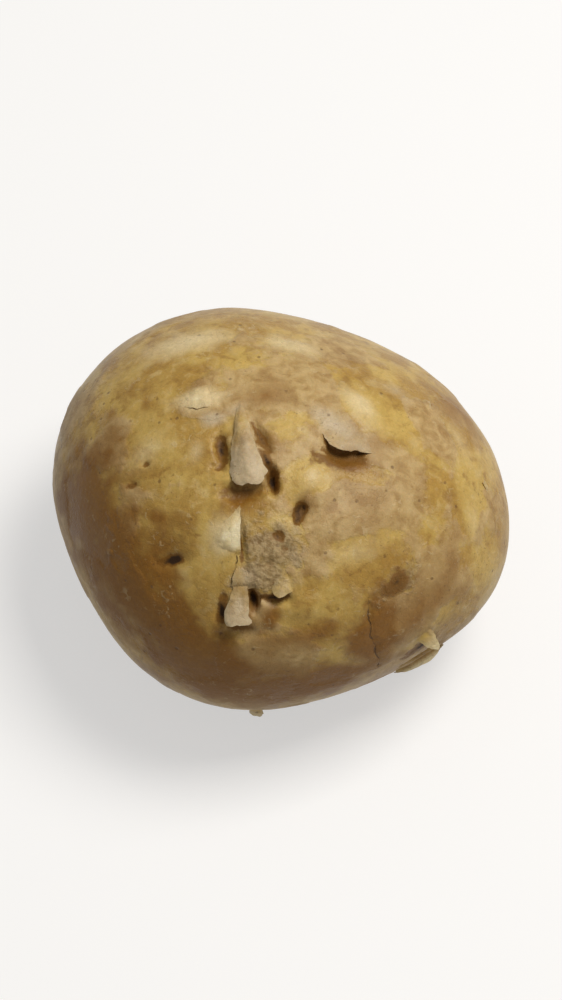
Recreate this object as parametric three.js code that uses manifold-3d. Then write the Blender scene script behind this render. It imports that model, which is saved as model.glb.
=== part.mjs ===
/**
 * A whole raw potato of a yellow, thin-skinned kind, lying on its broad side.
 *
 * Frame, in millimetres: +X along the length, +Y across the width, +Z up through the thickness. The
 * origin is under the middle of the bounding box, on the surface that the potato rests on.
 *
 * The tuber is one solid. It starts as an ellipsoid, which broad swells and slopes turn into a lopsided
 * egg, and its eyes are shallow dimples. A small flat underneath lets it lie still.
 */
import * as THREE from "three";
import { mergeVertices } from "three/addons/utils/BufferGeometryUtils.js";
import Module from "manifold-3d";

// Driving dimensions: the ellipsoid's half-sizes, before swells and slopes.
const HALF_LENGTH = 42.6;
const HALF_WIDTH = 39.6;
const HALF_THICKNESS = 31;

// How far above the lowest point of the rounded body the resting flat is cut.
const REST_CUT = 1.2;

// Fineness: each of the icosahedron's 20 faces is split into (SPLITS + 1) squared triangles.
const SPLITS = 17;

// Broad changes of shape. Each raises the surface by rise where it faces toward, or lowers it where rise
// is negative. The change dies away with the angle from there, more slowly the larger spread is.
const SWELLS = [
  { name: "right rear slope", toward: [0.48, 0.77, 0.43], rise: -6.5, spread: 0.39 },
  { name: "left front flank", toward: [-0.91, -0.42, -0.12], rise: -3.6, spread: 0.21 },
  { name: "front belly", toward: [-0.39, -0.85, -0.38], rise: 4.2, spread: 0.22 },
  { name: "blunt nose", toward: [0.91, -0.34, -0.22], rise: 3.3, spread: 0.1 },
  { name: "hollow under the right", toward: [0.35, 0.45, -0.82], rise: -1.6, spread: 0.1 },
  { name: "swelling under the left", toward: [-0.62, 0.62, -0.48], rise: 1.6, spread: 0.12 },
];

// Eyes, each a round dimple that faces toward, as wide and as deep as given.
const EYES = [
  { name: "brow eye", toward: [0.39, -0.28, 0.88], width: 8, depth: 1.1 },
  { name: "middle pit", toward: [0.15, -0.63, 0.77], width: 5, depth: 1.2 },
  { name: "left front eye", toward: [-0.5, -0.71, 0.5], width: 8, depth: 0.7 },
  { name: "rear eye", toward: [-0.2, 0.97, 0.05], width: 9, depth: 1.1 },
  { name: "nose eye", toward: [0.93, 0.36, 0.03], width: 8, depth: 1.2 },
  { name: "right rear eye", toward: [0.5, 0.84, -0.2], width: 9, depth: 1.1 },
  { name: "left rear eye", toward: [-0.72, 0.58, -0.1], width: 9, depth: 1.0 },
  { name: "stem scar", toward: [-0.95, -0.05, -0.25], width: 8, depth: 1.8 },
  { name: "right under eye", toward: [0.52, 0.4, -0.76], width: 8, depth: 0.9 },
  { name: "left under eye", toward: [-0.6, -0.4, -0.69], width: 8, depth: 0.9 },
  { name: "front nose eye", toward: [0.78, -0.42, -0.46], width: 7, depth: 0.9 },
];

const skin = new THREE.MeshStandardMaterial({ color: 0xb08f52, roughness: 0.55, metalness: 0 });

for (const feature of [...SWELLS, ...EYES]) {
  feature.axis = new THREE.Vector3(...feature.toward).normalize();
}

/** The distance from the middle of the potato to its surface, in the direction of a unit vector. */
function surfaceRadius(direction) {
  const ellipsoid =
    1 / Math.hypot(direction.x / HALF_LENGTH, direction.y / HALF_WIDTH, direction.z / HALF_THICKNESS);
  let radius = ellipsoid;
  for (const { axis, rise, spread } of SWELLS) {
    radius += rise * Math.exp((direction.dot(axis) - 1) / spread);
  }
  for (const { axis, width, depth } of EYES) {
    const away = ellipsoid * direction.angleTo(axis);
    radius -= depth * Math.exp(-((away / (width / 2)) ** 2));
  }
  return radius;
}

/** The rounded body, as a ball whose points are moved out to the potato's surface. */
function makeBody() {
  const ball = new THREE.IcosahedronGeometry(1, SPLITS);
  ball.deleteAttribute("normal");
  ball.deleteAttribute("uv");
  const body = mergeVertices(ball, 1e-4);
  const points = body.getAttribute("position");
  const point = new THREE.Vector3();
  for (let i = 0; i < points.count; i += 1) {
    point.fromBufferAttribute(points, i).normalize();
    point.multiplyScalar(surfaceRadius(point));
    points.setXYZ(i, point.x, point.y, point.z);
  }
  body.computeBoundingBox();
  return body;
}

/** A block that holds everything below a given height, wide enough to pass the body on every side. */
function makeBlockBelow(height) {
  const side = 4 * HALF_LENGTH;
  const block = new THREE.BoxGeometry(side, side, side);
  block.translate(0, 0, height - side / 2);
  block.deleteAttribute("normal");
  block.deleteAttribute("uv");
  return mergeVertices(block);
}

const wasm = await Module();
wasm.setup();

function toSolid(geometry) {
  const mesh = new wasm.Mesh({
    numProp: 3,
    vertProperties: new Float32Array(geometry.getAttribute("position").array),
    triVerts: new Uint32Array(geometry.getIndex().array),
  });
  return new wasm.Manifold(mesh);
}

function toGeometry(solid) {
  const mesh = solid.getMesh();
  const geometry = new THREE.BufferGeometry();
  geometry.setAttribute("position", new THREE.BufferAttribute(mesh.vertProperties, mesh.numProp));
  geometry.setIndex(new THREE.BufferAttribute(mesh.triVerts, 1));
  geometry.computeVertexNormals();
  geometry.computeBoundingBox();
  return geometry;
}

const body = makeBody();
const restHeight = body.boundingBox.min.z + REST_CUT;
const flattened = toSolid(body).subtract(toSolid(makeBlockBelow(restHeight)));

const potato = new THREE.Mesh(toGeometry(flattened), skin);
potato.name = "potato";
const middle = potato.geometry.boundingBox.getCenter(new THREE.Vector3());
potato.position.set(-middle.x, -middle.y, -restHeight);

const part = new THREE.Group();
part.add(potato);

export default part;
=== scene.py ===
"""A whole raw potato with golden, thin, peeling skin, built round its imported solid.

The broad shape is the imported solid's own, worked out again on a finer mesh. Onto it come the small
relief of the skin, its eyes, pits and cracks, and the loose flakes of skin, all joined in one closed
mesh. Lengths are in millimetres, in the broad shape's own frame, until place() puts the finished points
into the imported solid's frame, in metres.
"""
import functools
import math
import random

import bpy
import numpy as np
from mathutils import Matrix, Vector, noise


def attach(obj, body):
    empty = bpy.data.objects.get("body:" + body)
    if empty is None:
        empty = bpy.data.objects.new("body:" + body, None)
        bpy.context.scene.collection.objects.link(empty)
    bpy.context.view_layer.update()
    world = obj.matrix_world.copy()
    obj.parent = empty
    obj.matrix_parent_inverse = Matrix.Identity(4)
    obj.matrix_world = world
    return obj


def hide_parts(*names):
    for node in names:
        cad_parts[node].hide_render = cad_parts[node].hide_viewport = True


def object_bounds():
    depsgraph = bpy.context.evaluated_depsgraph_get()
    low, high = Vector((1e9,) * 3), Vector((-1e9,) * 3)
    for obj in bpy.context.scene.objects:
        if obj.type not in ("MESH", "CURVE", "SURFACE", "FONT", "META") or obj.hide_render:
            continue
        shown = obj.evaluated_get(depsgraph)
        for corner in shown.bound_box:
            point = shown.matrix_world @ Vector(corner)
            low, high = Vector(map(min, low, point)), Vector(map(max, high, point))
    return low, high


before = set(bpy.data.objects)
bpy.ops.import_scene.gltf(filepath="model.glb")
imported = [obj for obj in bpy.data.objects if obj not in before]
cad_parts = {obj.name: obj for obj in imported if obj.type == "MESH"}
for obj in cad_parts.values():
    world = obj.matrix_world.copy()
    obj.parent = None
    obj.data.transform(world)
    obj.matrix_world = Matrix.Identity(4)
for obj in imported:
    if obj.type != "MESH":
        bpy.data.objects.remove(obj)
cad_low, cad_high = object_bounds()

MM = 0.001

# --- The broad shape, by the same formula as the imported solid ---

HALF_SIZES = np.array([42.6, 39.6, 31.0])

# Where each swell or slope faces, how far it raises the skin, and how widely it spreads.
SWELLS = [
    ((0.48, 0.77, 0.43), -6.5, 0.39),
    ((-0.91, -0.42, -0.12), -3.6, 0.21),
    ((-0.39, -0.85, -0.38), 4.2, 0.22),
    ((0.91, -0.34, -0.22), 3.3, 0.1),
    ((0.35, 0.45, -0.82), -1.6, 0.1),
    ((-0.62, 0.62, -0.48), 1.6, 0.12),
]

# Where each eye faces, how wide and how deep its dimple is.
EYES = {
    "brow": ((0.39, -0.28, 0.88), 8, 1.1),
    "pit": ((0.15, -0.63, 0.77), 5, 1.2),
    "left_front": ((-0.5, -0.71, 0.5), 8, 0.7),
    "rear": ((-0.2, 0.97, 0.05), 9, 1.1),
    "nose": ((0.93, 0.36, 0.03), 8, 1.2),
    "right_rear": ((0.5, 0.84, -0.2), 9, 1.1),
    "left_rear": ((-0.72, 0.58, -0.1), 9, 1.0),
    "stem_scar": ((-0.95, -0.05, -0.25), 8, 1.8),
    "right_under": ((0.52, 0.4, -0.76), 8, 0.9),
    "left_under": ((-0.6, -0.4, -0.69), 8, 0.9),
    "front_nose": ((0.78, -0.42, -0.46), 7, 0.9),
}


def unit(vectors):
    vectors = np.asarray(vectors, float)
    return vectors / np.linalg.norm(vectors, axis=-1, keepdims=True)


def broad_points(directions):
    """The points of the broad shape that lie in these directions from its middle."""
    ellipsoid = 1 / np.linalg.norm(directions / HALF_SIZES, axis=-1)
    radius = ellipsoid.copy()
    for toward, rise, spread in SWELLS:
        radius += rise * np.exp((directions @ unit(toward) - 1) / spread)
    for toward, width, depth in EYES.values():
        angle = np.arccos(np.clip(directions @ unit(toward), -1, 1))
        radius -= depth * np.exp(-((ellipsoid * angle / (width / 2)) ** 2))
    return directions * radius[..., None]


def tangents(directions):
    """Two directions across each direction, square to it and to each other."""
    helper = np.where(np.abs(directions[..., 2:]) < 0.9, [0.0, 0.0, 1.0], [1.0, 0.0, 0.0])
    first = unit(np.cross(helper, directions))
    return first, np.cross(directions, first)


def broad_normals(directions):
    step = 0.004
    first, second = tangents(directions)
    here = broad_points(directions)
    one = broad_points(unit(directions + step * first)) - here
    other = broad_points(unit(directions + step * second)) - here
    return unit(np.cross(one, other))


def spot_frame(toward, heading):
    """The point that faces toward, with its outward normal, the heading along the skin, and across it."""
    toward = unit([toward])
    normal = broad_normals(toward)[0]
    ahead = np.array(heading, float)
    ahead = unit(ahead - normal * (ahead @ normal))
    return broad_points(toward)[0], normal, ahead, np.cross(normal, ahead)


# --- The face: the side with the flaps and scars, which looks up and forward ---

FACE_TILT = math.radians(58)
FACE_OUT = np.array([0, -math.cos(FACE_TILT), math.sin(FACE_TILT)])
FACE_RIGHT = np.array([1.0, 0, 0])
FACE_UP = np.cross(FACE_OUT, FACE_RIGHT)
FACE_MIDDLE = 1.9 * FACE_RIGHT - 3.25 * FACE_UP  # where across and up are counted from
HALVINGS = 40  # how often on_face() halves the stretch in which it looks for the skin
BEYOND_FACE = 60.0  # farther out from FACE_MIDDLE than the skin is anywhere


@functools.lru_cache(maxsize=None)
def on_face(across, up):
    """The direction of the place that lies this far right of the face's middle and this far up from it."""
    base = FACE_MIDDLE + across * FACE_RIGHT + up * FACE_UP
    low, high = 0.0, BEYOND_FACE
    for _ in range(HALVINGS):
        out = (low + high) / 2
        point = base + out * FACE_OUT
        inside = np.linalg.norm(point) < np.linalg.norm(broad_points(unit(point)[None]))
        low, high = (out, high) if inside else (low, out)
    return unit(point)


def face_heading(turn):
    """A heading on the face, in degrees anticlockwise from right."""
    return math.cos(math.radians(turn)) * FACE_RIGHT + math.sin(math.radians(turn)) * FACE_UP


@functools.lru_cache(maxsize=None)
def face_frame(across, up, turn):
    """spot_frame() at a place on the face, with this turn as its heading."""
    return spot_frame(on_face(across, up), face_heading(turn))


# Each row below is an oval spot on the face: where its middle is across and up, the oval's turn, its
# half-sizes along that turn and across it, and how high it rises, how deep it sinks or how strong it is.
FACE_HILLS = [
    (-6.9, 11, 98, 7, 2.8, 0.9),  # under the tooth-shaped flap
    (4.4, 5, 60, 5.4, 4.4, 0.5),  # right of the hole
    (9, -2.5, 20, 6, 4, 0.4),
    (12.8, 16.8, 110, 6, 5, 0.7),  # the brow
    (-10.6, -5, 70, 5.6, 3.4, 0.5),  # under the pale facet
    (-15, 20, 10, 6, 3, 0.4),
    (3.4, -17.5, 10, 5, 3.4, 0.5),
    (21, -22, 60, 7, 5, 0.5),
]
FACE_HOLLOWS = [
    (-11.3, 10.3, 96, 5.4, 1.9, 1.3),  # left of the tooth-shaped flap
    (-2.2, 4.3, 100, 4, 1.7, 3),  # the hole beside its lower end
    (-4.2, 12.4, 118, 5.5, 1.3, 0.9),  # along its right edge
    (-7.4, 2.4, 0, 5.4, 2.8, 1.2),  # below it
    (10.4, 8.8, -6, 6, 2.3, 0.8),  # under the brow
    (8, 10.6, -52, 3.4, 1.5, 0.6),
    (2.5, -1.2, 75, 2.8, 1.9, 0.9),  # the oval pit
    (-7.6, -6.7, 98, 7, 1.2, 0.7),  # right of the pale facet
    (-5.5, -16.7, 94, 3.6, 1.7, 2.3),  # right of the lowest flap
    (-8, -22, 5, 5, 2.2, 0.9),
    (-1.2, -16.3, 0, 4.2, 1.5, 1.1),
    (-11.4, -18.6, 80, 3.2, 1.4, 0.8),
    (-19.5, -9.4, 12, 4.6, 2, 0.5),  # the shallow eye at the left
    (-24.5, 7.4, 0, 1.4, 1.2, 0.4),
    (-26.8, 3.6, 0, 1.8, 1, 0.4),
    (24.5, -27, 25, 6, 1.8, 0.9),
    (-1.2, -5.1, 0, 2, 1.5, 0.6),
    (-0.1, -7.4, 0, 1.6, 1.3, 0.4),
    (-2.7, -10.2, 0, 1.5, 1.4, 0.4),
]
# Brown stains, and painted brown shade left of and below the tooth-shaped flap, under the brow flap and
# under the small flap at the lower end of the scurf, which hold their strength nearly up to their edges.
FACE_STAINS_AND_SHADE = [
    (-11.2, 10.3, 96, 4.9, 1.6, 0.8),
    (-8, 2.6, 0, 4.8, 2.3, 0.42),
    (10.5, 8.8, -4, 5.6, 1.8, 0.66),
    (8.7, 7.8, -8, 5, 2.5, 0.52),
    (2.6, -1, 75, 2.5, 1.5, 0.95),
    (-1.9, 5, 98, 3.4, 1.5, 0.6),
    (-1.4, -15.9, 0, 3.6, 1.3, 0.6),
    (-1.2, -5.1, 0, 1.6, 1.2, 0.75),
    (-0.1, -7.4, -20, 1.2, 0.9, 0.3),
    (-2.7, -10.2, 0, 1.1, 1, 0.3),
]
# Dark soil, and painted shade in the hollows and in the gaps beside and under the flaps.
FACE_SOIL_AND_SHADE = [
    (-11.3, 10.3, 96, 4.6, 1.5, 1.25),
    (-2.1, 4.5, 100, 3.6, 1.4, 1.5),
    (-4.3, 12.2, 118, 5.4, 1, 1),
    (-3.2, 8, 115, 2.8, 1, 1.3),
    (10.8, 9.1, -4, 4.8, 1.1, 0.55),
    (13.6, 9.5, 4, 2, 0.8, 1.4),
    (8, 10.5, -50, 2.9, 1.1, 0.8),
    (2.4, -0.8, 78, 2.4, 1.3, 1.3),
    (-5.7, -16.7, 94, 2.9, 1.4, 1.7),
    (-7.8, -21.3, 5, 4, 1.4, 0.9),
    (-11.1, -18.5, 82, 3.4, 1.3, 1.8),
    (-7.9, -6.8, 98, 6.5, 0.6, 1.1),
    (-2, -16.1, 0, 3, 0.9, 1.5),
    (-19.5, -9.4, 12, 3.3, 1.3, 1.9),
    (-18.6, -9, 30, 4.6, 2, 0.4),
    (-24.5, 7.4, 0, 1.1, 0.9, 0.9),
    (-27, 3.6, 0, 1.8, 0.9, 0.9),
    (24.6, -25, 24, 4.8, 2.4, 1.25),
    (19.5, -13.4, 35, 4.8, 3.2, 0.95),
    (-1.2, -5.2, 0, 1.4, 1, 1),
]
# Corky, scaly skin.
FACE_SCURF = [
    (-2.3, -6.8, 5, 7.2, 5.2, 1.3),
    (-3.8, -12.2, 5, 5, 3.4, 1.1),
    (19.6, -13.4, 35, 5.4, 3.6, 0.9),
]
# Where the dry outer film is left, and where it has rubbed off.
FACE_FILM = [
    (-13.5, 17.5, 5, 8, 3.2, 1.2),
    (22, -19, 60, 13, 8, 1.3),
    (1, 21, 0, 12, 6, 0.9),
    (12, -0.5, 10, 11, 6, 1.1),
    (26, 14, -50, 9, 5, 0.9),
    (-3, -27, 10, 9, 5, 0.8),
]
FACE_GOLD = [
    (-21, 12, 20, 10, 6.5, 1.3),
    (-22, 6.3, 10, 7, 4, 1),
    (-15.5, 9, 80, 5, 4, 1.3),
    (4.4, 5, 60, 5.6, 4.4, 1),
    (33, 3, 80, 9, 5, 1.2),
    (4, -17.5, 10, 8, 4, 1.2),
    (13, 19, 110, 9, 5, 1.3),
    (-18, 30, 20, 14, 6, 1.3),
    (-14, -6, 60, 8, 5, 1),
    (16, 4.5, 20, 5, 4, 0.9),
]
# Pale, greyed and brown patches.
# The pale patches along the top and over the brow are painted highlight.
FACE_PALE = [
    (13, 18, 115, 8, 3.8, 1.2),
    (-17, 29.6, 10, 13, 6, 1.4),
    (1.5, 28.6, -20, 10, 4.5, 1.2),
    (-15.5, 18.8, 5, 7.5, 3.6, 1.6),
    (-15.5, 9.5, 75, 4.5, 3, 0.7),
    (-24.5, 9.5, 25, 7.5, 4, 0.7),
    (-10.2, -5.2, 60, 5.8, 3.9, 1.8),
    (4.6, 4.6, 60, 5, 3.4, 0.5),
    (31, 12, 100, 8, 4, 0.7),
    (34, -3, 90, 7, 3, 0.6),
    (12, -8, 20, 9, 4, 0.6),
]
FACE_GREY = [
    (8.8, 14.2, -40, 8, 3.5, 1.1),
    (-12.6, 15.3, 0, 4.2, 2.5, 1.2),
    (20, 20.5, -35, 6.5, 4, 0.6),
    (-8.8, 17, 30, 5, 2.4, 0.7),
    (-6.6, 9.5, 98, 9, 3.6, 0.8),
    (-6.4, -12.6, 80, 4.2, 3.2, 0.9),
    (-7.9, -17.4, 87, 5.4, 2.8, 1),
    (-0.2, -13.4, 0, 3.4, 2.6, 0.6),
    (2, -9, 60, 5, 3, 0.6),
]
# Brown patches. The wide ones along the left and bottom rims, and those beside the tooth-shaped flap, under
# the brow and below the lowest flap, are painted shade.
FACE_BROWN = [
    (-35, 0, 80, 19, 13, 1.8),
    (-29, -11, -50, 21, 14, 1.8),
    (-17, -25, -35, 19, 11, 1.7),
    (0, -33, 5, 24, 10, 1.5),
    (0, -23.5, 8, 14, 5, 1.2),
    (14, -29, 15, 12, 5, 0.9),
    (15.5, -22, 80, 10, 7.5, 1.8),
    (24, -19, 50, 15, 9, 0.9),
    (30, 18, -45, 14, 9, 0.5),
    (-22, -2, -10, 9, 3.5, 0.9),
    (-7.5, 1.5, 30, 6, 4, 1.1),
    (-3, 19.5, 20, 7, 4, 0.75),
    (-2.5, 12, 115, 6, 2.4, 0.8),
    (3, 0.5, 30, 4, 3, 0.8),
    (11, 7.8, 0, 6, 3, 1.1),
    (-7.2, -15, 90, 3.6, 3.6, 0.45),
    (-2.6, -19.8, 90, 4, 3, 1.3),
]
# Thin cracks of the face, each through a few places.
FACE_CRACKS = [
    [(14.5, -16.9), (15, -22.4), (16.7, -28.3)],
    [(-8, -4.3), (-8.6, -9.5), (-9.4, -14.2)],
]
# Loose, wrinkled skin.
FACE_WRINKLES = [(21.7, -22.5, 60, 10, 6, 1)]


# --- Small tools for fields over the skin ---

SEED_SHIFT = (17.3, -9.1, 5.7)  # how far apart the noises of two seeds are taken
OCTAVE_FALL, OCTAVE_STEP = 0.9, 2.1  # how much weaker and finer each octave of a noise is


def grain(points, size, octaves=1, seed=0):
    """Smooth random values, about -1 to 1, that change over lengths of size."""
    shift = Vector([part * seed for part in SEED_SHIFT])
    places = [Vector(p) / size + shift for p in points]
    if octaves == 1:
        return np.array([noise.noise(p) for p in places])
    return np.array([noise.fractal(p, OCTAVE_FALL, OCTAVE_STEP, octaves) for p in places])


def smooth(values, low, high):
    """0 at low, 1 at high, and a smooth change between them, whichever of the two is larger."""
    share = np.clip((values - low) / (high - low), 0, 1)
    return share * share * (3 - 2 * share)


def blot(points, wobble, frame_there, along, across):
    """1 at the middle of an oval spot on the skin and 0 at its wobbly edge, falling in a straight line.

    Its half-sizes are along the heading of its spot_frame() and across it.
    """
    middle, normal, ahead, side = frame_there
    offset = points - middle
    far = np.hypot(offset @ ahead / along, offset @ side / across)
    far = np.maximum(far, np.abs(offset @ normal) / (2 * max(along, across)))
    return np.clip(1 - far * (1 + wobble), 0, 1)


def face_blots(points, wobble, rows):
    """The strongest of several blots of the face at each point."""
    values = np.zeros(len(points))
    for across, up, turn, along, wide, strength in rows:
        spot = blot(points, wobble, face_frame(across, up, turn), along, wide)
        values = np.maximum(values, strength * spot)
    return values


def face_relief(points, wobble, rows, flat_top=1.0):
    """The sum of several hills of the face at each point.

    Each has its full height where its blot is over flat_top.
    """
    height = np.zeros(len(points))
    for across, up, turn, along, wide, rise in rows:
        spot = blot(points, wobble, face_frame(across, up, turn), along, wide)
        height += rise * smooth(spot, 0, flat_top)
    return height


# --- Relief and colour fields of the skin ---

# Which way the brow of each eye of the hidden sides lies from its middle.
BROWS = {
    "rear": (-0.9, 0.0, 0.3),
    "nose": (-0.6, 0.5, 0.6),
    "right_rear": (-0.9, 0.2, 0.3),
    "left_rear": (-0.5, -0.5, 0.7),
    "right_under": (-0.8, 0.3, 0.2),
    "left_under": (-0.8, 0.2, -0.3),
    "front_nose": (-0.7, -0.3, 0.5),
}
# How far the brow and the crease of an eye are from its middle, and how wide they and its bud are, in
# shares of the eye's width. The last line holds their heights.
BROW_AT, BROW_SPREAD = 0.52, 0.16
CREASE_AT, CREASE_SPREAD = 0.3, 0.09
BUD_SPREAD = 0.09
BROW_RISE, CREASE_DEPTH, BUD_RISE = 0.4, 0.5, 0.25
# The same for the stub and the ring of the stem scar.
STUB_EDGE, STUB_TOP = 0.2, 0.12
RING_AT, RING_SPREAD = 0.24, 0.07
STUB_RISE, RING_DEPTH = 0.6, 0.4


def ridge(far, at, spread):
    """1 at a distance of at, and less to both sides of it."""
    return np.exp(-(((far - at) / spread) ** 2))


def eye_relief(points, wobble):
    """The height and the darkness of each eye's brow, the crease under it and the bud below that."""
    height = np.zeros(len(points))
    dark = np.zeros(len(points))
    for name, heading in BROWS.items():
        toward, width, _ = EYES[name]
        middle, normal, ahead, side = spot_frame(toward, heading)
        offset = points - middle
        along, across, deep = offset @ ahead, offset @ side, offset @ normal
        far = np.sqrt((1.3 * along) ** 2 + across**2 + deep**2) + 0.8 * wobble
        facing = np.clip(along / np.maximum(np.hypot(along, across), 1e-6), 0, 1)
        brow = ridge(far, BROW_AT * width, BROW_SPREAD * width) * facing
        crease = ridge(far, CREASE_AT * width, CREASE_SPREAD * width) * facing
        bud = ridge(far, 0, BUD_SPREAD * width)
        height += BROW_RISE * brow - CREASE_DEPTH * crease + BUD_RISE * bud
        dark = np.maximum(dark, np.maximum(0.95 * crease, 0.6 * bud))
    return height, dark


CRACK_REACH = 2.0  # how far from a crack its field still changes


def crack_distance(points, wobble):
    """How far each point is from the nearest crack, below 0 on one side of it, up to CRACK_REACH."""
    nearest = np.full(len(points), CRACK_REACH)
    for route in FACE_CRACKS:
        places = [on_face(*where) for where in route]
        for start, end in zip(places, places[1:]):
            middle, _, ahead, side = spot_frame(start + end, end - start)
            offset = points - middle
            half = 0.5 * np.linalg.norm(broad_points(end[None]) - broad_points(start[None]))
            beyond = np.maximum(np.abs(offset @ ahead) - half, 0)
            aside = offset @ side + 0.5 * wobble
            deep = np.linalg.norm(offset, axis=1) > half + CRACK_REACH
            far = np.where(deep, CRACK_REACH, np.copysign(np.abs(aside) + 1.5 * beyond, aside))
            nearest = np.where(np.abs(far) < np.abs(nearest), far, nearest)
    return nearest


def stem_scar(points, wobble):
    """The height and the darkness of the low round stub where the potato grew from its stem."""
    toward, width, _ = EYES["stem_scar"]
    middle = broad_points(unit([toward]))[0]
    far = np.linalg.norm(points - middle, axis=-1) + 0.5 * wobble
    stub = smooth(far, STUB_EDGE * width, STUB_TOP * width)
    ring = ridge(far, RING_AT * width, RING_SPREAD * width)
    return STUB_RISE * stub - RING_DEPTH * ring, np.maximum(0.75 * stub, ring)


def undulation(points):
    """The gentle ups and downs of the skin."""
    return 0.3 * grain(points, 16, seed=1) + 0.1 * grain(points, 6, seed=2)


def ground(points):
    """The height of the skin over the broad shape without its hollows, which flakes follow."""
    return undulation(points) + face_relief(points, 0, FACE_HILLS)


def wobbles(points):
    """A fine and a broad noise that make the edges of spots and patches uneven."""
    return grain(points, 2.6, 3, seed=3), 0.4 * grain(points, 5.0, 3, seed=4)


def skin_fields(points, wobble, broad_wobble):
    """Fields that the skin's material reads.

    film is over 0.5 where the dry outer film of the skin is left, and under 0.5 where it has rubbed off.
    """
    scurf = face_blots(points, broad_wobble + 0.4 * wobble, FACE_SCURF)
    film = 0.44 + 0.42 * grain(points, 13, 4, seed=5)
    film *= 1 - face_blots(points, broad_wobble, FACE_GOLD)
    film += face_blots(points, broad_wobble, FACE_FILM)
    film *= 1 - smooth(scurf, 0.1, 0.5)
    # a random brown tone, with painted shade along the left and bottom rims and under the flaps
    brown = np.maximum(0.25 + 0.4 * grain(points, 18, 3, seed=8), 0)
    brown += 0.85 * face_blots(points, broad_wobble, FACE_BROWN)
    pale = face_blots(points, broad_wobble, FACE_PALE)
    grey = face_blots(points, broad_wobble, FACE_GREY)
    return {"scurf": scurf, "film": film, "brown": brown, "pale": pale, "grey": grey}


FILM_THICKNESS = 0.12
CRACK_DEPTH, CRACK_HALF_WIDTH = 0.2, 0.7
WRINKLE_STRETCH = np.array([1.0, 0.45, 0.6])  # the wrinkles are longer along the last two axes


def film_rise(film):
    """How much higher the skin is where its film is left."""
    return FILM_THICKNESS * smooth(film, 0.46, 0.54)


def skin_relief(points):
    """The height of the skin over the broad shape, and the fields that its material reads."""
    wobble, broad_wobble = wobbles(points)
    fields = skin_fields(points, wobble, broad_wobble)
    eyes, dark = eye_relief(points, wobble)
    stub, stub_dark = stem_scar(points, wobble)
    crack = crack_distance(points, wobble)
    cracked = smooth(np.abs(crack), CRACK_HALF_WIDTH, 0)
    wrinkled = face_blots(points, broad_wobble, FACE_WRINKLES)
    scales = 0.11 * grain(points, 1.5, 2, seed=6)
    wrinkles = 0.3 * np.abs(grain(points * WRINKLE_STRETCH, 2.4, 2, seed=9))

    height = ground(points) + eyes + stub + film_rise(fields["film"]) - CRACK_DEPTH * cracked
    height -= face_relief(points, 0.4 * wobble, FACE_HOLLOWS, 0.8)
    height += smooth(fields["scurf"], 0.05, 0.5) * scales
    height += smooth(wrinkled, 0.05, 0.5) * wrinkles
    height += 0.02 * grain(points, 1.8, 2, seed=7)

    # the darkness of the eyes and the stem scar, soil, and painted shade in the hollows and beside the flaps
    soil_and_shade = np.maximum(dark, stub_dark)
    rough = 0.4 * wobble + 0.25 * grain(points, 1.1, 2, seed=11)
    soil_and_shade = np.maximum(soil_and_shade, face_blots(points, rough, FACE_SOIL_AND_SHADE))
    # real stains, and painted shade beside the flaps, both held flat up to their edges
    for *place_there, strength in FACE_STAINS_AND_SHADE:
        stain_and_shade = smooth(face_blots(points, rough, [(*place_there, 1)]), 0, 0.6)
        soil_and_shade = np.maximum(soil_and_shade, strength * stain_and_shade)
    fields["soil_and_shade"] = soil_and_shade
    fields["crack"] = crack
    fields["by_crack"] = smooth(np.abs(crack), CRACK_REACH, 0.5 * CRACK_REACH)
    return height, fields


# --- The body's mesh ---

EDGE_CELLS = 108  # along each edge of the cube that the ball starts from
FINE_SIDE = np.array([0.0, -0.45, 0.89])  # the side where the cells are smallest
FINENESS = 0.2


def grid_cells(rows, columns):
    """The four-sided faces of a grid of points, by index."""
    index = np.arange(rows * columns).reshape(rows, columns)
    return np.stack([index[:-1, :-1], index[1:, :-1], index[1:, 1:], index[:-1, 1:]], -1).reshape(-1, 4)


def ball():
    """A ball's directions and four-sided faces, from a cube's six sides."""
    steps = np.arange(EDGE_CELLS + 1) / EDGE_CELLS - 0.5
    spread = np.tan(steps * math.pi / 2)
    across, up = np.meshgrid(spread, spread, indexing="ij")
    out = np.ones_like(across)
    sides = []
    for sign in (1, -1):
        sides.append(np.stack([sign * out, sign * across, up], -1))
        sides.append(np.stack([up, sign * out, sign * across], -1))
        sides.append(np.stack([sign * across, up, sign * out], -1))
    corners = np.concatenate([unit(s).reshape(-1, 3) for s in sides])
    cells = grid_cells(EDGE_CELLS + 1, EDGE_CELLS + 1)
    faces = np.concatenate([cells + n * out.size for n in range(6)])
    _, first, shared = np.unique(np.round(corners, 6), axis=0, return_index=True, return_inverse=True)
    return unit(corners[first] + FINENESS * FINE_SIDE), shared.reshape(-1)[faces]


def face_outwards(points, faces):
    """The faces, each turned so that it faces away from the middle."""
    a, b, c = (points[faces[:, i]] for i in range(3))
    inward = (np.cross(b - a, c - a) * (a + c)).sum(-1) < 0
    faces = faces.copy()
    faces[inward] = faces[inward][:, ::-1]
    return faces


# --- Loose flakes of skin ---

FLAKE_CELL = 0.28
TORN_TEETH = ((1.5, 1.0), (0.6, 0.4))  # the spacing of large and of small teeth, and how rough each is
ROOT_DEPTH = 0.15  # how far below the skin a flake begins
ROOT_RUN = 3.0  # how far from its root it comes up to the skin
THIN_EDGE = 0.9  # how far from its edges it is thinner and paler


def torn(rng, places, roughness):
    """A jagged line of values round 0 at these places along an edge, with large and small teeth."""
    values = np.zeros(len(places))
    for spacing, share in TORN_TEETH:
        size = share * roughness
        count = max(2, round((places.max() - places.min()) / spacing))
        corners = [rng.uniform(-size, size) for _ in range(count + 1)]
        values += np.interp(places, np.linspace(places.min(), places.max(), count + 1), corners)
    return values


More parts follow.
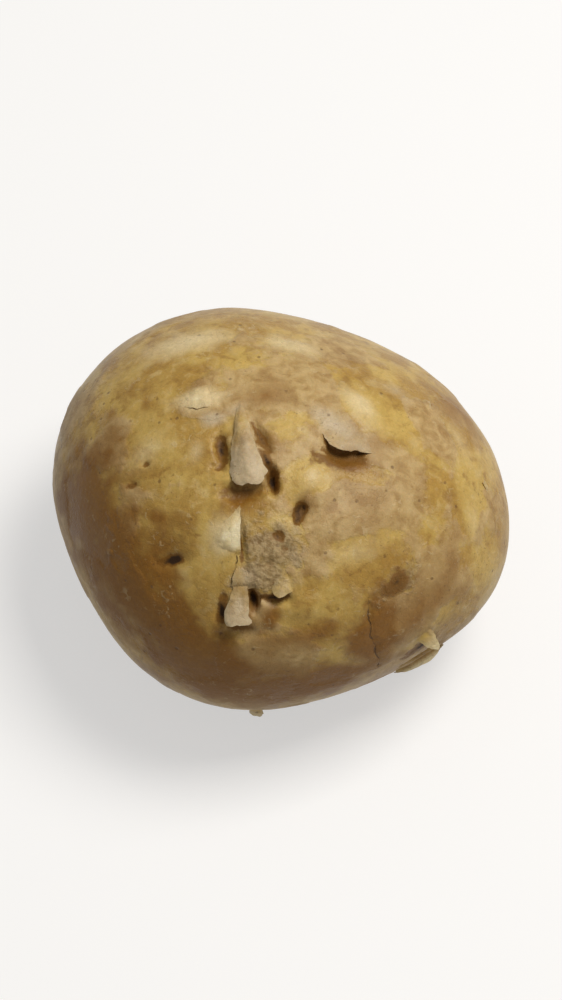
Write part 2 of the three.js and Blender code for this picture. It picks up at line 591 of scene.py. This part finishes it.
LINE_REACH = 1.6  # how far a flake's middle line is worked out, in shares of its length
LINE_STEPS = 160


def steered_line(length, rise, curl):
    """The middle line of a flake that is steered up from the body.

    Returns shares of the length and, at each of them, how far along and up the line is, and its angle.
    """
    shares = np.linspace(0, LINE_REACH, LINE_STEPS + 1)
    angles = np.radians(rise * smooth(shares, 0, 0.5) + curl * shares**1.5)
    step = shares[1] * length
    along = np.concatenate([[0], np.cumsum(np.cos(angles[1:]) * step)])
    up = np.concatenate([[0], np.cumsum(np.sin(angles[1:]) * step)])
    return shares, along, up, angles


def flake(
    root, tip, outline, rise=10, curl=30, cup=0, tuck=(0, 0), slant=0, corner=0.8, torn_by=0.25, thick=0.22,
    film=0.5, grey=0.3, pale=0, seed=0,
):
    """A thin, closed flake of skin that grows out of the body at root and points toward tip.

    Each row of its outline is a share of its length, and where its two edges are there, across its middle
    line. It begins along the skin. rise is the angle, in degrees, that it soon turns up to, and curl is how
    much further it turns up by its free end. cup bends both sides up, and tuck is how far each of them is
    sunk. slant is how much longer it is at its far side, corner how far the free end's corners are drawn
    back, and torn_by how rough its edges are. film, grey and pale are the least that those fields come to
    at its free end. Returns its points, its faces, and its fields.
    """
    rng = random.Random(seed)
    tip_point = broad_points(unit([tip]))[0]
    root_point = broad_points(unit([root]))[0]
    middle, _, ahead, side = spot_frame(root, tip_point - root_point)
    length = np.linalg.norm(tip_point - root_point)
    stations, near, far = np.array(outline, float).T
    rows = max(6, round(length / FLAKE_CELL))
    columns = max(5, round((far - near).max() / FLAKE_CELL))
    share = np.linspace(0, 1, rows + 1)
    over = np.linspace(0, 1, columns + 1)
    near_edge = np.interp(share, stations, near) + torn(rng, share * length, torn_by) * share**0.5
    far_edge = np.interp(share, stations, far) + torn(rng, share * length, torn_by) * share**0.5
    across = near_edge[:, None] + (far_edge - near_edge)[:, None] * over
    width = far[-1] - near[-1]
    reach = slant * (over - 0.5) - corner * np.abs(2 * over - 1) ** 3 + torn(rng, over * width, torn_by)
    where = share[:, None] * (1 + reach / length * share[:, None] ** 2)
    inset = np.minimum((far_edge - near_edge)[:, None] * np.minimum(over, 1 - over), (1 - where) * length)

    # each place on the flake: how far along the skin, across it and up from it, on the bent middle line
    line_shares, line_along, line_up, line_angles = steered_line(length, rise, curl)
    angle = np.interp(where, line_shares, line_angles)
    bend = math.radians(cup) * 2 / (far - near).max() * np.sqrt(share)[:, None]
    bend = np.where(np.abs(bend) < 1e-6, 1e-6, bend)
    swing = (1 - np.cos(bend * across)) / bend
    across = np.sin(bend * across) / bend
    along = np.interp(where, line_shares, line_along) - np.sin(angle) * swing
    up = np.interp(where, line_shares, line_up) + np.cos(angle) * swing
    up -= (ROOT_DEPTH + thick / 2) * smooth(share * length, min(ROOT_RUN, 0.7 * length), 0)[:, None]

    # onto the skin, with its ups and downs
    flat = middle + along[..., None] * ahead + across[..., None] * side
    directions = unit(flat.reshape(-1, 3))
    broad = broad_points(directions)
    sunk = (tuck[0] * smooth(over, 0.45, 0) + tuck[1] * smooth(over, 0.55, 1)) * np.ones_like(where)
    sunk = sunk.reshape(-1)
    crumple = 0.14 * grain(broad, 1.7, 2, seed=seed + 20) + 0.3 * grain(broad, 4.0, seed=seed + 40)
    fields = skin_fields(broad, *wobbles(broad))
    up = up.reshape(-1) - sunk + crumple * smooth(where * length, 0.5, 3).reshape(-1)
    up += ground(broad) + film_rise(fields["film"])
    points = broad + broad_normals(directions) * up[:, None]
    points, faces = thicken(points.reshape(flat.shape), thick * (0.3 + 0.7 * smooth(inset, 0, THIN_EDGE)))
    rim = smooth(inset, THIN_EDGE, 0.1) * smooth(where, 0, 0.5)
    loose = smooth(where.reshape(-1), 0.2, 0.9) * smooth(sunk, 0.5, 0)
    for name, least in (("film", film), ("grey", grey), ("pale", pale)):
        fields[name] = np.maximum(fields[name], least * loose)
    fields["scurf"] *= 1 - loose
    fields["brown"] *= 1 - loose * min(pale, 1)
    fields["rim"] = rim.reshape(-1)
    fields["crack"] = np.full(len(broad), CRACK_REACH)
    fields["known"] = np.ones(len(broad))
    fields = {name: np.tile(values, 2) for name, values in fields.items()}
    fields["under"] = np.arange(len(points)) >= len(broad)
    return points, faces, fields


def thicken(grid, thick):
    """A closed shell of this thickness round a grid of points. Its top points come first."""
    normals = unit(np.cross(np.gradient(grid, axis=0), np.gradient(grid, axis=1)))
    offset = normals * thick[..., None] / 2
    if (offset * grid).sum() < 0:
        offset = -offset
    points = np.concatenate([(grid + offset).reshape(-1, 3), (grid - offset).reshape(-1, 3)])
    rows, columns = thick.shape
    index = np.arange(rows * columns).reshape(rows, columns)
    border = np.concatenate([index[0, :-1], index[:-1, -1], index[-1, :0:-1], index[:0:-1, 0]])
    following = np.roll(border, -1)
    under = index.size
    rim = np.stack([border, following, following + under, border + under], -1)
    cells = grid_cells(rows, columns)
    faces = np.concatenate([cells, cells[:, ::-1] + under, rim])
    if volume(points, faces) < 0:
        faces = faces[:, ::-1]
    return points, faces


def volume(points, faces):
    """The volume inside a closed mesh of four-sided faces, below 0 if they face inwards."""
    a, b, c, d = (points[faces[:, i]] for i in range(4))
    return ((a * np.cross(b, c)).sum() + (a * np.cross(c, d)).sum()) / 6


# The flakes of the face. Each root and tip is a place on the face.
FACE_FLAKES = [
    # the tooth-shaped flap in the middle
    dict(root=(-7.8, 19.6), tip=(-6.5, 1), rise=12, curl=-13, cup=-34, slant=0.6, torn_by=0.4, thick=0.3,
         film=0.9, grey=1, pale=0.3,
         outline=[(0, -0.3, 0.2), (0.35, -1.5, 1), (0.65, -2.9, 2.1), (0.87, -3.7, 3.6), (1, -3.4, 2.8)]),
    # the flap over the brow eye
    dict(root=(9.3, 16.6), tip=(10.2, 8.8), rise=8, curl=2, cup=-14, tuck=(0.2, 0.1), slant=0.4, torn_by=0.5,
         thick=0.28, corner=0.5, film=0.6, grey=0.7,
         outline=[(0, -3.6, 3.8), (0.5, -3.4, 4.8), (0.8, -2.6, 5.4), (1, -1.4, 5.6)]),
    # the pale facet below the middle, free along its right side
    dict(root=(-14, -6.2), tip=(-7.9, -4.9), rise=8, curl=-6, cup=-8, tuck=(1, 0.3), film=0,
         grey=0, pale=1.8, slant=2.2, corner=0.2,
         outline=[(0, -2, 1.2), (0.4, -3.2, 1.8), (0.75, -5, 3.4), (1, -6, 5)]),
    # the grey piece below it, free along its left side
    dict(root=(-3.1, -12.4), tip=(-9, -12.6), rise=6, curl=0, cup=-20, tuck=(0.3, 0.4), slant=1.4,
         torn_by=0.35, film=0.4, grey=0.45, corner=0.3,
         outline=[(0, -1, 1.6), (0.6, -1.2, 2), (1, -2.6, 2.2)]),
    # the lowest flap, which stands off
    dict(root=(-7.5, -11.8), tip=(-8.3, -20.8), rise=13, curl=8, cup=-30, slant=-0.9, torn_by=0.5,
         corner=0.3, film=0.8, grey=0.8, pale=0.1,
         outline=[(0, -0.6, 0.8), (0.5, -1.5, 1.5), (0.8, -2.2, 2.2), (1, -2.7, 2.9)]),
    # the small flap at the lower end of the scurf
    dict(root=(0.2, -9.6), tip=(-0.6, -15.4), rise=8, curl=4, cup=-30, tuck=(0.2, 0.2), slant=-1,
         torn_by=0.5, outline=[(0, -1, 1.2), (0.6, -1.7, 1.6), (1, -2.2, 2)]),
    # the lifted edge at the upper left
    dict(root=(-15, 22.4), tip=(-14.8, 17.4), rise=5, curl=-1, cup=-8, tuck=(0.6, 0.6), slant=1,
         torn_by=0.5, thick=0.16, film=0, grey=0, corner=0.6,
         outline=[(0, -3.2, 3), (0.6, -4.6, 4.4), (1, -5.4, 4.8)]),
    # near the lower right rim; its paleness is partly painted light, as it faces away from the lamp
    dict(root=(24.2, -22.2), tip=(26.7, -23.9), rise=30, curl=16, cup=-8, slant=-0.4, torn_by=0.35, pale=1.5,
         outline=[(0, -1.2, 1), (0.4, -1.7, 1.3), (0.75, -1.3, 0.8), (1, -0.7, 0.3)]),
]
# The flakes of the rim of the face. They head away from the face and stand off from its outline. Their
# paleness is partly painted light, as they face away from the lamp.
RIM_FLAKES = [
    dict(root=(0.625, -0.735, -0.26), tip=(0.634, -0.709, -0.299), rise=50, curl=28, torn_by=0.3, pale=2,
         slant=-0.4, corner=1.4, outline=[(0, -3.4, 4.4), (0.5, -4.6, 5.8), (1, -4.6, 5.8)]),
    dict(root=(-0.08, -0.955, -0.29), tip=(-0.08, -0.91, -0.385), rise=14, curl=12, torn_by=0.4, pale=1.4,
         outline=[(0, -1, 1), (1, -1.1, 1.2)]),
]

SMALL_FLAKES = {True: 3, False: 24}  # how many are on the face, and how many on the hidden sides
SMALL_FLAKE_GAP = 9.0  # between any two flakes
SMALL_FLAKE_LOWEST = -0.75  # how far down a place with a small flake may face
OUTLINE_FACINGS = (-0.32, 0.5)  # how far the skin near the face's outline faces the same way as the face
FLAT_FACING, FLAT_UP = -0.6, 0.5  # flakes lie flatter where the skin faces the face's way or up by more
EDGE_REACH = 2.5  # how much of the film's edge shows which way it runs


def small_flakes(points, film, taken):
    """Rows for small flakes scattered along the edges of the film, which point away from it."""
    rng = random.Random(5)
    edge = np.flatnonzero(np.abs(film - 0.5) < 0.03)
    facings = broad_normals(unit(points)) @ FACE_OUT
    left = dict(SMALL_FLAKES)
    rows = []
    for index in rng.sample(edge.tolist(), len(edge)):
        here = points[index]
        toward = unit(here)
        facing = facings[index]
        on_face_side = bool(facing > 0)
        flat = facing > FLAT_FACING or toward[2] > FLAT_UP
        in_outline = OUTLINE_FACINGS[0] < facing < OUTLINE_FACINGS[1]
        close = min(np.linalg.norm(here - other) for other in taken) < SMALL_FLAKE_GAP
        if toward[2] < SMALL_FLAKE_LOWEST or in_outline or close or not left[on_face_side]:
            continue
        near = np.flatnonzero(np.linalg.norm(points - here, axis=1) < EDGE_REACH)
        away = -((film[near] - film[index])[:, None] * (points[near] - here)).sum(0)
        if np.linalg.norm(away) < 1e-3:
            continue
        away = unit(away)
        taken.append(here)
        left[on_face_side] -= 1
        size = rng.uniform(0.5, 0.8) if on_face_side else rng.uniform(0.7, 2.4) ** 1.2
        wide = size * rng.uniform(0.8, 1.5)
        rows.append(dict(
            root=unit(here - (1.6 + 1.2 * size) * away),
            tip=unit(here + size * away),
            outline=[(0, -0.6 * wide, 0.7 * wide), (0.6, -wide, wide * rng.uniform(0.7, 1.1)),
                     (1, -wide * rng.uniform(0.5, 1.1), wide * rng.uniform(0.5, 1.1))],
            rise=rng.uniform(4, 7) if flat else rng.uniform(7, 14),
            curl=rng.uniform(-2, 4) if flat else rng.choice((rng.uniform(0, 15), rng.uniform(15, 45))),
            cup=rng.uniform(-30, -15) if flat else rng.uniform(-25, 5),
            slant=rng.uniform(-0.4, 0.4) * wide,
            corner=0.3 * wide,
            torn_by=0.12 + 0.22 * wide,
            grey=rng.uniform(0, 0.6),
            pale=rng.uniform(0, 0.6),
        ))
    return rows


# --- Joining body and flakes ---

# FLAKE_SHADE is the strength of the painted shade under the flakes.
FLAKE_SHADE = 0.4  # how strong the dark is under the flakes' free ends
SMOOTH_BELOW = math.radians(50)  # edges that bend more than this stay sharp


def place(points, broad):
    """From the formula's millimetres to the frame's metres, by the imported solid's own box."""
    low, high = broad.min(0), broad.max(0)
    cad_middle = (np.array(cad_low) + np.array(cad_high)) / 2
    shift = cad_middle / MM - (low + high) / 2
    shift[2] = cad_high[2] / MM - high[2]
    placed = (points + shift) * MM
    placed[:, 2] = np.maximum(placed[:, 2], 0)
    return placed


def new_object(name, points, faces):
    mesh = bpy.data.meshes.new(name)
    mesh.from_pydata(points.tolist(), [], faces.tolist())
    made = bpy.data.objects.new(name, mesh)
    bpy.context.scene.collection.objects.link(made)
    return made


def add_field(mesh, name, values):
    attribute = mesh.attributes.new(name, "FLOAT", "POINT")
    attribute.data.foreach_set("value", np.asarray(values, np.float32))


def flake_rows(broad, film):
    rows = [dict(row, root=on_face(*row["root"]), tip=on_face(*row["tip"])) for row in FACE_FLAKES]
    rows += [dict(row, root=unit(row["root"]), tip=unit(row["tip"])) for row in RIM_FLAKES]
    taken = [broad_points(row[end][None])[0] for row in rows for end in ("root", "tip")]
    return rows + small_flakes(broad, film, taken)


def shade_under(points, wobble, rows):
    """How far the skin lies under a flake's free end, from 0 to 1, which sets the painted shade there."""
    shade = np.zeros(len(points))
    for row in rows:
        start, end = (broad_points(row[name][None])[0] for name in ("root", "tip"))
        run = end - start
        length = np.linalg.norm(run)
        _, near, far = np.array(row["outline"], float).T
        place_there = spot_frame(start + 0.8 * run, run)
        spot = blot(points, wobble, place_there, 0.35 * length + 0.5, 0.5 * (far - near)[-1] + 0.7)
        shade = np.maximum(shade, spot * smooth(row["rise"] + row["curl"], 4, 12))
    return smooth(shade, 0, 0.6)


MENDING_STEPS = 10  # more edges than lie between any new point and the nearest old one


def mend_fields(mesh):
    """Gives each point that the join has made, which has no fields of its own, its neighbours' mean."""
    count = len(mesh.vertices)
    ends = np.empty(2 * len(mesh.edges), np.int32)
    mesh.edges.foreach_get("vertices", ends)
    ends = ends.reshape(-1, 2)
    ends = np.concatenate([ends, ends[:, ::-1]])
    values = {}
    for attribute in mesh.attributes:
        if attribute.domain == "POINT" and attribute.data_type == "FLOAT":
            values[attribute.name] = np.empty(count, np.float32)
            attribute.data.foreach_get("value", values[attribute.name])
    known = values["known"] > 0.5
    for _ in range(MENDING_STEPS):
        onward = ends[known[ends[:, 0]] & ~known[ends[:, 1]]]
        neighbours = np.bincount(onward[:, 1], minlength=count)
        filled = neighbours > 0
        for held in values.values():
            total = np.bincount(onward[:, 1], held[onward[:, 0]], minlength=count)
            held[filled] = total[filled] / neighbours[filled]
        known = known | filled
    for name, held in values.items():
        mesh.attributes[name].data.foreach_set("value", held)
    mesh.attributes.remove(mesh.attributes["known"])


def make_body(broad, faces, height, fields):
    points = broad + broad_normals(unit(broad)) * height[:, None]
    body = new_object("potato_body", place(points, broad), face_outwards(broad, faces))
    for name, values in fields.items():
        add_field(body.data, name, values)
    return body


def make_flakes(broad, rows):
    """All the flakes, as separate closed shells in one mesh."""
    made = [flake(**row, seed=number) for number, row in enumerate(rows)]
    starts = np.cumsum([0] + [len(points) for points, _, _ in made])
    points = np.concatenate([points for points, _, _ in made])
    faces = np.concatenate([faces + start for (_, faces, _), start in zip(made, starts)])
    flakes = new_object("loose_flakes", place(points, broad), faces)
    for name in made[0][2]:
        add_field(flakes.data, name, np.concatenate([fields[name] for _, _, fields in made]))
    return flakes


def make_potato(material):
    directions, faces = ball()
    broad = broad_points(directions)
    height, fields = skin_relief(broad)
    rows = flake_rows(broad, fields["film"])
    shade = shade_under(broad, 0.4 * grain(broad, 2.0, 2, seed=10), rows)
    # painted shade under the flakes' free ends
    fields["soil_and_shade"] = np.maximum(fields["soil_and_shade"], FLAKE_SHADE * shade)
    fields["known"] = np.ones(len(broad))
    body = make_body(broad, faces, height, fields)
    flakes = make_flakes(broad, rows)
    body.data.materials.append(material)
    flakes.data.materials.append(material)
    join = body.modifiers.new("join", "BOOLEAN")
    join.operation = "UNION"
    join.solver = "MANIFOLD"
    join.object = flakes
    depsgraph = bpy.context.evaluated_depsgraph_get()
    joined = bpy.data.meshes.new_from_object(body.evaluated_get(depsgraph), depsgraph=depsgraph)
    body.modifiers.clear()
    mend_fields(joined)
    body.data = joined
    bpy.data.objects.remove(flakes)
    joined.shade_smooth()
    joined.set_sharp_from_angle(angle=SMOOTH_BELOW)
    return body


# --- Materials ---

# Colours of the skin, and of what lies on it.
GOLDEN = (0.57, 0.375, 0.100)
DEEP_GOLDEN = (0.44, 0.255, 0.056)
LIGHT_GOLDEN = (0.66, 0.475, 0.190)
DARK_GOLDEN = (0.30, 0.155, 0.033)
DARK_FILM = (0.37, 0.220, 0.085)
LIGHT_FILM = (0.56, 0.385, 0.180)
GREYED = (0.56, 0.43, 0.26)
TORN_RIM = (0.62, 0.50, 0.31)
PALE = (0.76, 0.59, 0.31)
PALEST = (0.93, 0.78, 0.48)
BROWN_AND_SHADE = (0.240, 0.100, 0.012)
NET = (0.19, 0.10, 0.035)
FLECK = (0.68, 0.52, 0.28)
GRAIN = (0.17, 0.085, 0.028)
LENTICEL = (0.13, 0.065, 0.022)
DARK_CORK = (0.22, 0.140, 0.066)
LIGHT_CORK = (0.42, 0.300, 0.160)
# soil, and painted shade in hollows and gaps; the second colour is near black
SOIL_AND_SHADE = (0.190, 0.079, 0.008)
DEEP_SOIL_AND_SHADE = (0.028, 0.011, 0.003)
CRACK = (0.100, 0.050, 0.018)
UNDERSIDE = (0.44, 0.31, 0.17)
# How much darker and lighter its scales, its fine noise and its grit make it.
SCALE_RANGE = (0.95, 0.95, 0.94), (1.05, 1.05, 1.06)
FINE_RANGE = (0.84, 0.84, 0.84), (1.14, 1.14, 1.14)
GRIT_RANGE = (0.86, 0.85, 0.83), (1.14, 1.15, 1.17)


class Shader:
    """One material, with short calls for the nodes that it is made of. Lengths are in millimetres."""

    def __init__(self, name):
        self.material = bpy.data.materials.new(name)
        self.material.use_nodes = True
        self.tree = self.material.node_tree
        self.surface = self.tree.nodes["Principled BSDF"]
        place_node = self.tree.nodes.new("ShaderNodeTexCoord")
        self.place = self.vector("MULTIPLY", place_node.outputs["Object"], (1 / MM,) * 3)

    def put(self, socket, value):
        """Links value to the socket if it is another node's output, and else sets it."""
        if isinstance(value, bpy.types.NodeSocket):
            self.tree.links.new(value, socket)
        elif socket.type == "RGBA" and len(value) == 3:
            socket.default_value = (*value, 1)
        else:
            socket.default_value = value

    def vector(self, operation, one, other):
        node = self.tree.nodes.new("ShaderNodeVectorMath")
        node.operation = operation
        self.put(node.inputs[0], one)
        self.put(node.inputs[1], other)
        return node.outputs[0]

    def math(self, operation, one, other=0.0):
        node = self.tree.nodes.new("ShaderNodeMath")
        node.operation = operation
        self.put(node.inputs[0], one)
        self.put(node.inputs[1], other)
        return node.outputs[0]

    def field(self, name):
        node = self.tree.nodes.new("ShaderNodeAttribute")
        node.attribute_name = name
        return node.outputs["Fac"]

    def noise(self, size, detail=2.0, shift=0.0, warp=0.0, colour=False):
        node = self.tree.nodes.new("ShaderNodeTexNoise")
        place = self.vector("ADD", self.place, (shift, 2 * shift, -shift))
        self.put(node.inputs["Vector"], place)
        node.inputs["Scale"].default_value = 1 / size
        node.inputs["Detail"].default_value = detail
        node.inputs["Distortion"].default_value = warp
        return node.outputs["Color" if colour else "Fac"]

    def cells(self, size, feature="F1", place=None):
        """The distance to the nearest of scattered points, or to the cells' edges, and each cell's value."""
        node = self.tree.nodes.new("ShaderNodeTexVoronoi")
        node.feature = feature
        self.put(node.inputs["Vector"], place or self.place)
        node.inputs["Scale"].default_value = 1 / size
        return node.outputs["Distance"], node.outputs.get("Color")

    def ramp(self, value, low, high, start=0.0, end=1.0):
        node = self.tree.nodes.new("ShaderNodeMapRange")
        node.interpolation_type = "SMOOTHSTEP"
        self.put(node.inputs["Value"], value)
        node.inputs["From Min"].default_value = low
        node.inputs["From Max"].default_value = high
        node.inputs["To Min"].default_value = start
        node.inputs["To Max"].default_value = end
        return node.outputs["Result"]

    def mix(self, share, one, other, blend="MIX"):
        node = self.tree.nodes.new("ShaderNodeMix")
        node.data_type = "RGBA"
        node.blend_type = blend
        self.put(node.inputs["Factor"], share)
        self.put(node.inputs[6], one)
        self.put(node.inputs[7], other)
        return node.outputs[2]

    def tint(self, colour, share, strength, toward):
        """The colour, drawn toward another one by the share times the strength."""
        return self.mix(self.math("MULTIPLY", share, strength), colour, toward)

    def add_noise(self, value, noise, size):
        """The value with a noise added that swings it by about half the size each way."""
        return self.math("ADD", value, self.math("MULTIPLY", self.math("SUBTRACT", noise, 0.5), size))

    def bump(self, height):
        """Bumps the surface by a height in millimetres."""
        node = self.tree.nodes.new("ShaderNodeBump")
        node.inputs["Distance"].default_value = MM
        self.put(node.inputs["Height"], height)
        self.put(self.surface.inputs["Normal"], node.outputs["Normal"])


def skin_material():
    s = Shader("potato_skin")
    patches = s.noise(9, detail=3, shift=1, warp=0.4)
    mottle = s.noise(2.6, detail=5, shift=2, warp=0.5)
    fine = s.noise(0.8, detail=4, shift=3)

    # bare golden skin, and the dry tan film on it
    golden = s.mix(s.ramp(patches, 0.38, 0.62), GOLDEN, DEEP_GOLDEN)
    golden = s.mix(s.ramp(mottle, 0.50, 0.72, 0, 0.6), golden, LIGHT_GOLDEN)
    golden = s.mix(s.ramp(mottle, 0.47, 0.28, 0, 0.65), golden, DARK_GOLDEN)
    dry = s.mix(s.ramp(mottle, 0.32, 0.68), DARK_FILM, LIGHT_FILM)
    film = s.add_noise(s.field("film"), fine, 0.25)
    colour = s.mix(s.ramp(film, 0.42, 0.58, 0, 0.75), golden, dry)
    # greyed loose skin, and pale patches
    grey = s.add_noise(s.field("grey"), mottle, 0.3)
    colour = s.mix(s.ramp(grey, 0.10, 1.0, 0, 0.9), colour, GREYED)
    colour = s.tint(colour, s.field("rim"), 0.25, TORN_RIM)
    # pale skin, and painted highlight along the top and over the brow; on the rim flakes the paleness is
    # partly painted light, as they face away from the lamp
    colour = s.mix(s.ramp(s.field("pale"), 0.05, 1.25, 0, 0.92), colour, PALE)
    colour = s.mix(s.ramp(s.field("pale"), 1.25, 1.70, 0, 0.8), colour, PALEST)

    # a random brown tone, and painted shade along the left and bottom rims and under the flaps
    brown = s.add_noise(s.add_noise(s.field("brown"), mottle, 1.0), patches, 0.9)
    colour = s.mix(s.ramp(brown, 0.30, 1.15, 0, 0.92), colour, BROWN_AND_SHADE)

    # the skin's fine net of thin scales, a little different from each other
    warped = s.vector("ADD", s.place, s.noise(1.6, detail=3, shift=6, colour=True))
    edge_far, _ = s.cells(1.2, "DISTANCE_TO_EDGE", warped)
    _, scale_kind = s.cells(1.2, "F1", warped)
    net = s.math("MULTIPLY", s.ramp(edge_far, 0.10, 0.0), s.ramp(patches, 0.40, 0.60))
    colour = s.tint(colour, net, 0.10, NET)
    colour = s.mix(1.0, colour, s.mix(scale_kind, *SCALE_RANGE), "MULTIPLY")

    # pale flecks where the film has scuffed, and clusters of brown grains
    clusters = s.noise(6, detail=3, shift=9)
    scuffs = s.noise(1.3, detail=4, shift=10, warp=0.8)
    flecks = s.math("MULTIPLY", s.ramp(scuffs, 0.60, 0.66), s.ramp(clusters, 0.48, 0.62))
    colour = s.tint(colour, flecks, 0.3, FLECK)
    specks = s.noise(0.55, detail=3, shift=11)
    grains = s.math("MULTIPLY", s.ramp(specks, 0.60, 0.70), s.ramp(clusters, 0.52, 0.36))
    colour = s.tint(colour, grains, 0.5, GRAIN)

    # lenticels: small dark dots
    dot_far, dot_kind = s.cells(2.6)
    dots = s.ramp(s.add_noise(dot_far, fine, 0.12), 0.17, 0.06)
    dots = s.math("MULTIPLY", dots, s.ramp(dot_kind, 0.56, 0.66))
    colour = s.tint(colour, dots, 0.6, LENTICEL)

    # corky scurf, and soil with painted shade, near black in the deepest hollows and gaps
    scurf = s.ramp(s.add_noise(s.field("scurf"), fine, 0.7), 0.06, 0.60)
    cork = s.mix(s.ramp(fine, 0.35, 0.65), DARK_CORK, LIGHT_CORK)
    colour = s.tint(colour, scurf, 0.75, cork)
    soil_and_shade = s.add_noise(s.add_noise(s.field("soil_and_shade"), fine, 0.8), mottle, 0.4)
    soil_and_shade = s.math("MULTIPLY", soil_and_shade, s.ramp(s.field("soil_and_shade"), 0.02, 0.2))
    colour = s.mix(s.ramp(soil_and_shade, 0.10, 0.55, 0, 0.88), colour, SOIL_AND_SHADE)
    colour = s.mix(s.ramp(soil_and_shade, 0.60, 1.25, 0, 0.95), colour, DEEP_SOIL_AND_SHADE)
    crack = s.math("ABSOLUTE", s.add_noise(s.field("crack"), fine, 0.5))
    crack = s.math("MULTIPLY", s.ramp(crack, 0.20, 0.03), s.field("by_crack"))
    crack = s.math("MULTIPLY", crack, s.ramp(mottle, 0.40, 0.56, 0.15, 0.8))
    colour = s.mix(crack, colour, CRACK)

    colour = s.tint(colour, s.field("under"), 0.5, UNDERSIDE)
    grit = s.noise(0.3, detail=3, shift=5)
    colour = s.mix(1.0, colour, s.mix(fine, *FINE_RANGE), "MULTIPLY")
    colour = s.mix(1.0, colour, s.mix(grit, *GRIT_RANGE), "MULTIPLY")
    s.put(s.surface.inputs["Base Color"], colour)

    rough = s.ramp(film, 0.4, 0.6, start=0.38, end=0.50)
    rough = s.math("ADD", rough, s.math("MULTIPLY", s.math("MAXIMUM", scurf, soil_and_shade), 0.2))
    s.put(s.surface.inputs["Roughness"], rough)

    film_edge = s.ramp(film, 0.44, 0.56, 0, 0.05)
    scales = s.math("MULTIPLY", scurf, fine)
    height = s.math("MULTIPLY", grit, 0.03)
    for relief, rise in (
        (fine, 0.07), (mottle, 0.08), (dots, -0.05), (crack, -0.15), (net, -0.02), (flecks, 0.03),
        (film_edge, 1.0), (scales, 0.2),
    ):
        height = s.math("ADD", height, s.math("MULTIPLY", relief, rise))
    s.bump(height)
    for socket, value in (
        ("Subsurface Weight", 0.06),
        ("Subsurface Radius", (1.0, 0.45, 0.15)),
        ("Subsurface Scale", 1.5 * MM),
        ("Specular IOR Level", 0.25),
    ):
        s.surface.inputs[socket].default_value = value
    return s.material


potato = make_potato(skin_material())
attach(potato, "root")
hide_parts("potato")

# --- Stage ---

MIDDLE = (cad_low + cad_high) / 2
FLOOR_HALF = 3.0
FLOOR_COLOUR = (0.47, 0.45, 0.42, 1)
FLOOR_GLOW = 0.53  # what the camera sees of the floor is lighter by this


def make_floor():
    """A wide pale floor. What the camera sees of it is near white, with the potato's shadow on it."""
    corners = FLOOR_HALF * np.array([[-1, -1, 0], [1, -1, 0], [1, 1, 0], [-1, 1, 0]])
    floor = new_object("floor", corners, np.array([[0, 1, 2, 3]]))
    material = bpy.data.materials.new("floor")
    material.use_nodes = True
    tree = material.node_tree
    surface = tree.nodes["Principled BSDF"]
    surface.inputs["Base Color"].default_value = FLOOR_COLOUR
    surface.inputs["Roughness"].default_value = 0.9
    surface.inputs["Emission Color"].default_value = (1, 1, 1, 1)
    path = tree.nodes.new("ShaderNodeLightPath")
    seen = path.outputs["Is Camera Ray"]
    for ray in ("Is Glossy Ray", "Is Transmission Ray"):
        both = tree.nodes.new("ShaderNodeMath")
        both.operation = "MAXIMUM"
        tree.links.new(seen, both.inputs[0])
        tree.links.new(path.outputs[ray], both.inputs[1])
        seen = both.outputs[0]
    glow = tree.nodes.new("ShaderNodeMath")
    glow.operation = "MULTIPLY"
    tree.links.new(seen, glow.inputs[0])
    glow.inputs[1].default_value = FLOOR_GLOW
    tree.links.new(glow.outputs[0], surface.inputs["Emission Strength"])
    floor.data.materials.append(material)


def make_world(strength):
    world = bpy.data.worlds.new("studio")
    world.use_nodes = True
    background = world.node_tree.nodes["Background"]
    background.inputs["Color"].default_value = (1, 1, 1, 1)
    background.inputs["Strength"].default_value = strength
    bpy.context.scene.world = world


def add_lamp(name, direction, distance, size, watts):
    """A square soft lamp that shines at the middle of the potato from this direction."""
    light = bpy.data.lights.new(name, "AREA")
    light.shape = "SQUARE"
    light.size = size
    light.energy = watts
    lamp = bpy.data.objects.new(name, light)
    bpy.context.scene.collection.objects.link(lamp)
    lamp.location = MIDDLE + Vector(direction).normalized() * distance
    lamp.rotation_euler = (MIDDLE - lamp.location).to_track_quat("-Z", "Y").to_euler()


PICTURE_TALLNESS = 1000 / 562  # the picture's height over its width


def add_camera(elevation, distance, width):
    """A camera in front of the potato that looks down on it and takes in this width at its middle."""
    data = bpy.data.cameras.new("camera")
    data.angle = 2 * math.atan(width * PICTURE_TALLNESS / 2 / distance)
    camera = bpy.data.objects.new("camera", data)
    bpy.context.scene.collection.objects.link(camera)
    back = Vector((0, -math.cos(elevation), math.sin(elevation)))
    camera.location = MIDDLE + back * distance
    camera.rotation_euler = (math.pi / 2 - elevation, 0, 0)
    bpy.context.scene.camera = camera


make_floor()
make_world(strength=0.25)
add_lamp("key", direction=(0.38, 0.12, 0.92), distance=0.8, size=0.36, watts=5.1)
add_camera(elevation=FACE_TILT, distance=0.6, width=0.103)
bpy.context.scene.view_settings.view_transform = "Standard"
